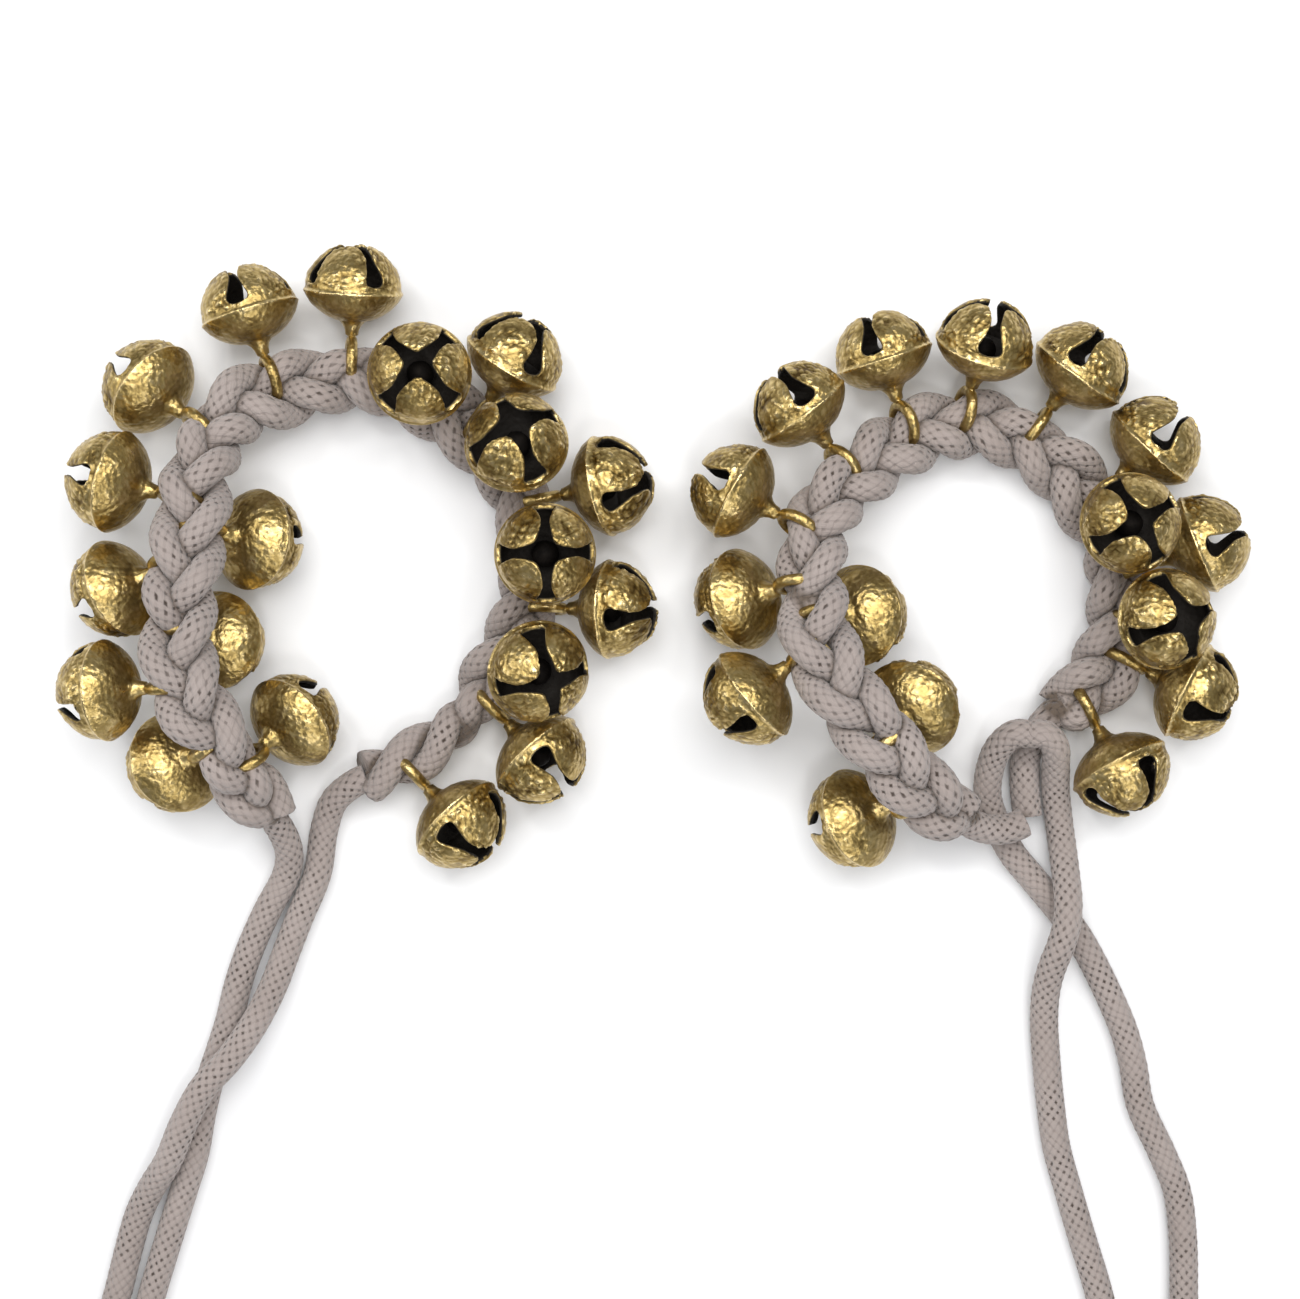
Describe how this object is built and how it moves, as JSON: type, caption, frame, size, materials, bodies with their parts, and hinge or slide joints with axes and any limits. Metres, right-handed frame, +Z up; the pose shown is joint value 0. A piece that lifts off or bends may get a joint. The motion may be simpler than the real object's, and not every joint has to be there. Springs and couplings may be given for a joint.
{
  "type": "ankle bells",
  "caption": "Pair of dancer's anklets: cast brass pellet bells hung by their eyes on a plaited cotton cord, with free cord ends to tie round the ankle.",
  "frame": {"origin": "on the table, under the middle of the pair's box without its ties", "axes": "+X from the left anklet to the right one, -Y the way the ties run, +Z up out of the loops"},
  "size_m": [0.3379, 0.2804, 0.0336],
  "materials": {
    "bell_brass": "cast and hammered yellow brass, pebbled, bright on the high spots and brown in the hollows",
    "cotton_cord": "undyed braided cotton cord, matt, light warm grey",
    "pellet_iron": "dark rough iron shot"
  },
  "bodies": {
    "left_anklet": {"left_plait": "cotton_cord", "left_tie_a": "cotton_cord", "left_tie_b": "cotton_cord", "left_coil_a": "cotton_cord", "left_coil_b": "cotton_cord"},
    "right_anklet": {"right_plait": "cotton_cord", "right_tie_a": "cotton_cord", "right_tie_b": "cotton_cord", "right_coil_a": "cotton_cord", "right_coil_b": "cotton_cord", "right_hook_strand": "cotton_cord", "right_end_strand": "cotton_cord"},
    "left_bell_01": {"left_bell_01": "bell_brass"},
    "left_bell_02": {"left_bell_02": "bell_brass"},
    "left_bell_03": {"left_bell_03": "bell_brass"},
    "left_bell_04": {"left_bell_04": "bell_brass"},
    "left_bell_05": {"left_bell_05": "bell_brass"},
    "left_bell_06": {"left_bell_06": "bell_brass"},
    "left_bell_07": {"left_bell_07": "bell_brass"},
    "left_bell_08": {"left_bell_08": "bell_brass"},
    "left_bell_09": {"left_bell_09": "bell_brass"},
    "left_bell_10": {"left_bell_10": "bell_brass"},
    "left_bell_11": {"left_bell_11": "bell_brass"},
    "left_bell_12": {"left_bell_12": "bell_brass"},
    "left_bell_13": {"left_bell_13": "bell_brass"},
    "left_bell_14": {"left_bell_14": "bell_brass"},
    "left_bell_15": {"left_bell_15": "bell_brass"},
    "left_bell_16": {"left_bell_16": "bell_brass"},
    "left_bell_17": {"left_bell_17": "bell_brass"},
    "left_bell_18": {"left_bell_18": "bell_brass"},
    "left_bell_19": {"left_bell_19": "bell_brass"},
    "right_bell_01": {"right_bell_01": "bell_brass"},
    "right_bell_02": {"right_bell_02": "bell_brass"},
    "right_bell_03": {"right_bell_03": "bell_brass"},
    "right_bell_04": {"right_bell_04": "bell_brass"},
    "right_bell_05": {"right_bell_05": "bell_brass"},
    "right_bell_06": {"right_bell_06": "bell_brass"},
    "right_bell_07": {"right_bell_07": "bell_brass"},
    "right_bell_08": {"right_bell_08": "bell_brass"},
    "right_bell_09": {"right_bell_09": "bell_brass"},
    "right_bell_10": {"right_bell_10": "bell_brass"},
    "right_bell_11": {"right_bell_11": "bell_brass"},
    "right_bell_12": {"right_bell_12": "bell_brass"},
    "right_bell_13": {"right_bell_13": "bell_brass"},
    "right_bell_14": {"right_bell_14": "bell_brass"},
    "right_bell_15": {"right_bell_15": "bell_brass"},
    "right_bell_16": {"right_bell_16": "bell_brass"},
    "left_pellet_10": {"left_pellet_10": "pellet_iron"},
    "left_pellet_11": {"left_pellet_11": "pellet_iron"},
    "left_pellet_12": {"left_pellet_12": "pellet_iron"},
    "left_pellet_13": {"left_pellet_13": "pellet_iron"},
    "left_pellet_14": {"left_pellet_14": "pellet_iron"},
    "left_pellet_15": {"left_pellet_15": "pellet_iron"},
    "left_pellet_16": {"left_pellet_16": "pellet_iron"},
    "left_pellet_17": {"left_pellet_17": "pellet_iron"},
    "right_pellet_07": {"right_pellet_07": "pellet_iron"},
    "right_pellet_09": {"right_pellet_09": "pellet_iron"},
    "right_pellet_12": {"right_pellet_12": "pellet_iron"},
    "right_pellet_14": {"right_pellet_14": "pellet_iron"},
    "right_pellet_15": {"right_pellet_15": "pellet_iron"}
  },
  "joints": [
    {"name": "right_anklet_slide", "type": "slide", "parent": "left_anklet", "child": "right_anklet", "axis": [1, 0, 0], "range_m": [0, 0.04]},
    {"name": "left_bell_01_swing", "type": "hinge", "parent": "left_anklet", "child": "left_bell_01", "pos_m": [-0.08123, -0.03975, 0.01979], "axis": [-0.3237, 0.8674, 0.3779], "range_deg": [-30, 12]},
    {"name": "left_bell_02_swing", "type": "hinge", "parent": "left_anklet", "child": "left_bell_02", "pos_m": [-0.08779, -0.03664, 0.02259], "axis": [-0.6287, 0.7499, 0.206], "range_deg": [-12, 30]},
    {"name": "left_bell_03_swing", "type": "hinge", "parent": "left_anklet", "child": "left_bell_03", "pos_m": [-0.09441, -0.02532, 0.02628], "axis": [-0.0922, 0.99, 0.1063], "range_deg": [-10, 30]},
    {"name": "left_bell_04_swing", "type": "hinge", "parent": "left_anklet", "child": "left_bell_04", "pos_m": [-0.09237, -0.01478, 0.02421], "axis": [0.0542, 0.9927, -0.1078], "range_deg": [-15, 12]},
    {"name": "left_bell_05_swing", "type": "hinge", "parent": "left_anklet", "child": "left_bell_05", "pos_m": [-0.09435, -0.00135, 0.02375], "axis": [-0.2021, 0.9139, -0.352], "range_deg": [-12, 19]},
    {"name": "left_bell_06_swing", "type": "hinge", "parent": "left_anklet", "child": "left_bell_06", "pos_m": [-0.08946, 0.00535, 0.02143], "axis": [0.0202, 0.9919, -0.1252], "range_deg": [-30, 12]},
    {"name": "left_bell_07_swing", "type": "hinge", "parent": "left_anklet", "child": "left_bell_07", "pos_m": [-0.09335, 0.01131, 0.02181], "axis": [0.2856, 0.92, -0.2683], "range_deg": [-12, 30]},
    {"name": "left_bell_08_swing", "type": "hinge", "parent": "left_anklet", "child": "left_bell_08", "pos_m": [-0.09072, 0.02559, 0.01581], "axis": [0.6708, 0.6597, -0.3388], "range_deg": [-12, 30]},
    {"name": "left_bell_09_swing", "type": "hinge", "parent": "left_anklet", "child": "left_bell_09", "pos_m": [-0.07748, 0.03561, 0.01069], "axis": [0.901, 0.2971, -0.3162], "range_deg": [-12, 22]},
    {"name": "left_bell_10_swing", "type": "hinge", "parent": "left_anklet", "child": "left_bell_10", "pos_m": [-0.06203, 0.03974, 0.00745], "axis": [0.9845, -0.0257, -0.1735], "range_deg": [-12, 22]},
    {"name": "left_bell_11_swing", "type": "hinge", "parent": "left_anklet", "child": "left_bell_11", "pos_m": [-0.04754, 0.03433, 0.00819], "axis": [0.8718, -0.4898, 0], "range_deg": [-10, 30]},
    {"name": "left_bell_12_swing", "type": "hinge", "parent": "left_anklet", "child": "left_bell_12", "pos_m": [-0.03654, 0.02773, 0.0073], "axis": [0.8426, -0.5378, 0.0288], "range_deg": [-12, 5]},
    {"name": "left_bell_13_swing", "type": "hinge", "parent": "left_anklet", "child": "left_bell_13", "pos_m": [-0.02791, 0.01723, 0.00819], "axis": [0.5258, -0.8004, 0.2879], "range_deg": [-7, 17]},
    {"name": "left_bell_14_swing", "type": "hinge", "parent": "left_anklet", "child": "left_bell_14", "pos_m": [-0.02425, 0.01197, 0.00662], "axis": [0.1958, -0.9797, -0.0434], "range_deg": [-12, 14]},
    {"name": "left_bell_15_swing", "type": "hinge", "parent": "left_anklet", "child": "left_bell_15", "pos_m": [-0.02331, 0.0007, 0.00819], "axis": [0.0161, -0.9997, -0.0174], "range_deg": [-10, 17]},
    {"name": "left_bell_16_swing", "type": "hinge", "parent": "left_anklet", "child": "left_bell_16", "pos_m": [-0.02336, -0.00989, 0.00662], "axis": [-0.0364, -0.9973, 0.0632], "range_deg": [-12, 8]},
    {"name": "left_bell_17_swing", "type": "hinge", "parent": "left_anklet", "child": "left_bell_17", "pos_m": [-0.02821, -0.01923, 0.00819], "axis": [-0.4965, -0.8667, -0.0482], "range_deg": [-5, 25]},
    {"name": "left_bell_18_swing", "type": "hinge", "parent": "left_anklet", "child": "left_bell_18", "pos_m": [-0.03373, -0.02935, 0.0073], "axis": [-0.7207, -0.692, -0.0411], "range_deg": [-12, 4]},
    {"name": "left_bell_19_swing", "type": "hinge", "parent": "left_anklet", "child": "left_bell_19", "pos_m": [-0.04985, -0.04267, 0.00662], "axis": [-0.7231, -0.6856, 0.0837], "range_deg": [-12, 30]},
    {"name": "right_bell_01_swing", "type": "hinge", "parent": "right_anklet", "child": "right_bell_01", "pos_m": [0.04897, -0.04703, 0.02033], "axis": [-0.6859, 0.5978, 0.415], "range_deg": [-12, 30]},
    {"name": "right_bell_02_swing", "type": "hinge", "parent": "right_anklet", "child": "right_bell_02", "pos_m": [0.04412, -0.03535, 0.02347], "axis": [-0.5581, 0.823, 0.1061], "range_deg": [-30, 12]},
    {"name": "right_bell_03_swing", "type": "hinge", "parent": "right_anklet", "child": "right_bell_03", "pos_m": [0.02862, -0.01812, 0.02493], "axis": [-0.5976, 0.7715, -0.2183], "range_deg": [-12, 30]},
    {"name": "right_bell_04_swing", "type": "hinge", "parent": "right_anklet", "child": "right_bell_04", "pos_m": [0.03125, -0.01091, 0.02223], "axis": [-0.1794, 0.9674, -0.1788], "range_deg": [-30, 12]},
    {"name": "right_bell_05_swing", "type": "hinge", "parent": "right_anklet", "child": "right_bell_05", "pos_m": [0.02695, -0.00553, 0.02128], "axis": [-0.0288, 0.9688, -0.2462], "range_deg": [-12, 30]},
    {"name": "right_bell_06_swing", "type": "hinge", "parent": "right_anklet", "child": "right_bell_06", "pos_m": [0.02759, 0.0058, 0.01963], "axis": [0.5233, 0.7956, -0.3053], "range_deg": [-12, 19]},
    {"name": "right_bell_07_swing", "type": "hinge", "parent": "right_anklet", "child": "right_bell_07", "pos_m": [0.03649, 0.01796, 0.01518], "axis": [0.7107, 0.6064, -0.3566], "range_deg": [-12, 30]},
    {"name": "right_bell_08_swing", "type": "hinge", "parent": "right_anklet", "child": "right_bell_08", "pos_m": [0.04906, 0.02666, 0.00985], "axis": [0.8903, 0.3214, -0.3226], "range_deg": [-12, 6]},
    {"name": "right_bell_09_swing", "type": "hinge", "parent": "right_anklet", "child": "right_bell_09", "pos_m": [0.06109, 0.02971, 0.008], "axis": [0.9565, -0.1096, -0.2704], "range_deg": [-10, 8]},
    {"name": "right_bell_10_swing", "type": "hinge", "parent": "right_anklet", "child": "right_bell_10", "pos_m": [0.07558, 0.02635, 0.00686], "axis": [0.8065, -0.5908, -0.0227], "range_deg": [-12, 8]},
    {"name": "right_bell_11_swing", "type": "hinge", "parent": "right_anklet", "child": "right_bell_11", "pos_m": [0.08895, 0.01264, 0.00672], "axis": [0.7208, -0.6912, 0.0521], "range_deg": [-12, 13]},
    {"name": "right_bell_12_swing", "type": "hinge", "parent": "right_anklet", "child": "right_bell_12", "pos_m": [0.09113, 0.00639, 0.00837], "axis": [0.4332, -0.9011, -0.0174], "range_deg": [-12, 30]},
    {"name": "right_bell_13_swing", "type": "hinge", "parent": "right_anklet", "child": "right_bell_13", "pos_m": [0.09548, -0.00225, 0.00662], "axis": [0.363, -0.9306, 0.0483], "range_deg": [-12, 10]},
    {"name": "right_bell_14_swing", "type": "hinge", "parent": "right_anklet", "child": "right_bell_14", "pos_m": [0.09533, -0.01164, 0.00788], "axis": [-0.1079, -0.994, -0.0169], "range_deg": [-2, 0]},
    {"name": "right_bell_15_swing", "type": "hinge", "parent": "right_anklet", "child": "right_bell_15", "pos_m": [0.09371, -0.02036, 0.00662], "axis": [-0.4523, -0.8919, -0.0048], "range_deg": [-12, 2]},
    {"name": "right_bell_16_swing", "type": "hinge", "parent": "right_anklet", "child": "right_bell_16", "pos_m": [0.08574, -0.02968, 0.00686], "axis": [-0.8862, -0.461, -0.0458], "range_deg": [-12, 30]},
    {"name": "left_pellet_10_rattle", "type": "slide", "parent": "left_bell_10", "child": "left_pellet_10", "axis": [0, 0, 1], "range_m": [0, 0.008]},
    {"name": "left_pellet_11_rattle", "type": "slide", "parent": "left_bell_11", "child": "left_pellet_11", "axis": [0, 0, 1], "range_m": [0, 0.006]},
    {"name": "left_pellet_12_rattle", "type": "slide", "parent": "left_bell_12", "child": "left_pellet_12", "axis": [0, 0, 1], "range_m": [0, 0.0075]},
    {"name": "left_pellet_13_rattle", "type": "slide", "parent": "left_bell_13", "child": "left_pellet_13", "axis": [0, 0, 1], "range_m": [0, 0.006]},
    {"name": "left_pellet_14_rattle", "type": "slide", "parent": "left_bell_14", "child": "left_pellet_14", "axis": [0, 0, 1], "range_m": [0, 0.0075]},
    {"name": "left_pellet_15_rattle", "type": "slide", "parent": "left_bell_15", "child": "left_pellet_15", "axis": [0, 0, 1], "range_m": [0, 0.0065]},
    {"name": "left_pellet_16_rattle", "type": "slide", "parent": "left_bell_16", "child": "left_pellet_16", "axis": [0, 0, 1], "range_m": [0, 0.0075]},
    {"name": "left_pellet_17_rattle", "type": "slide", "parent": "left_bell_17", "child": "left_pellet_17", "axis": [0, 0, 1], "range_m": [0, 0.006]},
    {"name": "right_pellet_07_rattle", "type": "slide", "parent": "right_bell_07", "child": "right_pellet_07", "axis": [0, 0, 1], "range_m": [0, 0.008]},
    {"name": "right_pellet_09_rattle", "type": "slide", "parent": "right_bell_09", "child": "right_pellet_09", "axis": [0, 0, 1], "range_m": [0, 0.0065]},
    {"name": "right_pellet_12_rattle", "type": "slide", "parent": "right_bell_12", "child": "right_pellet_12", "axis": [0, 0, 1], "range_m": [0, 0.0065]},
    {"name": "right_pellet_14_rattle", "type": "slide", "parent": "right_bell_14", "child": "right_pellet_14", "axis": [0, 0, 1], "range_m": [0, 0.006]},
    {"name": "right_pellet_15_rattle", "type": "slide", "parent": "right_bell_15", "child": "right_pellet_15", "axis": [0, 0, 1], "range_m": [0, 0.008]}
  ]
}
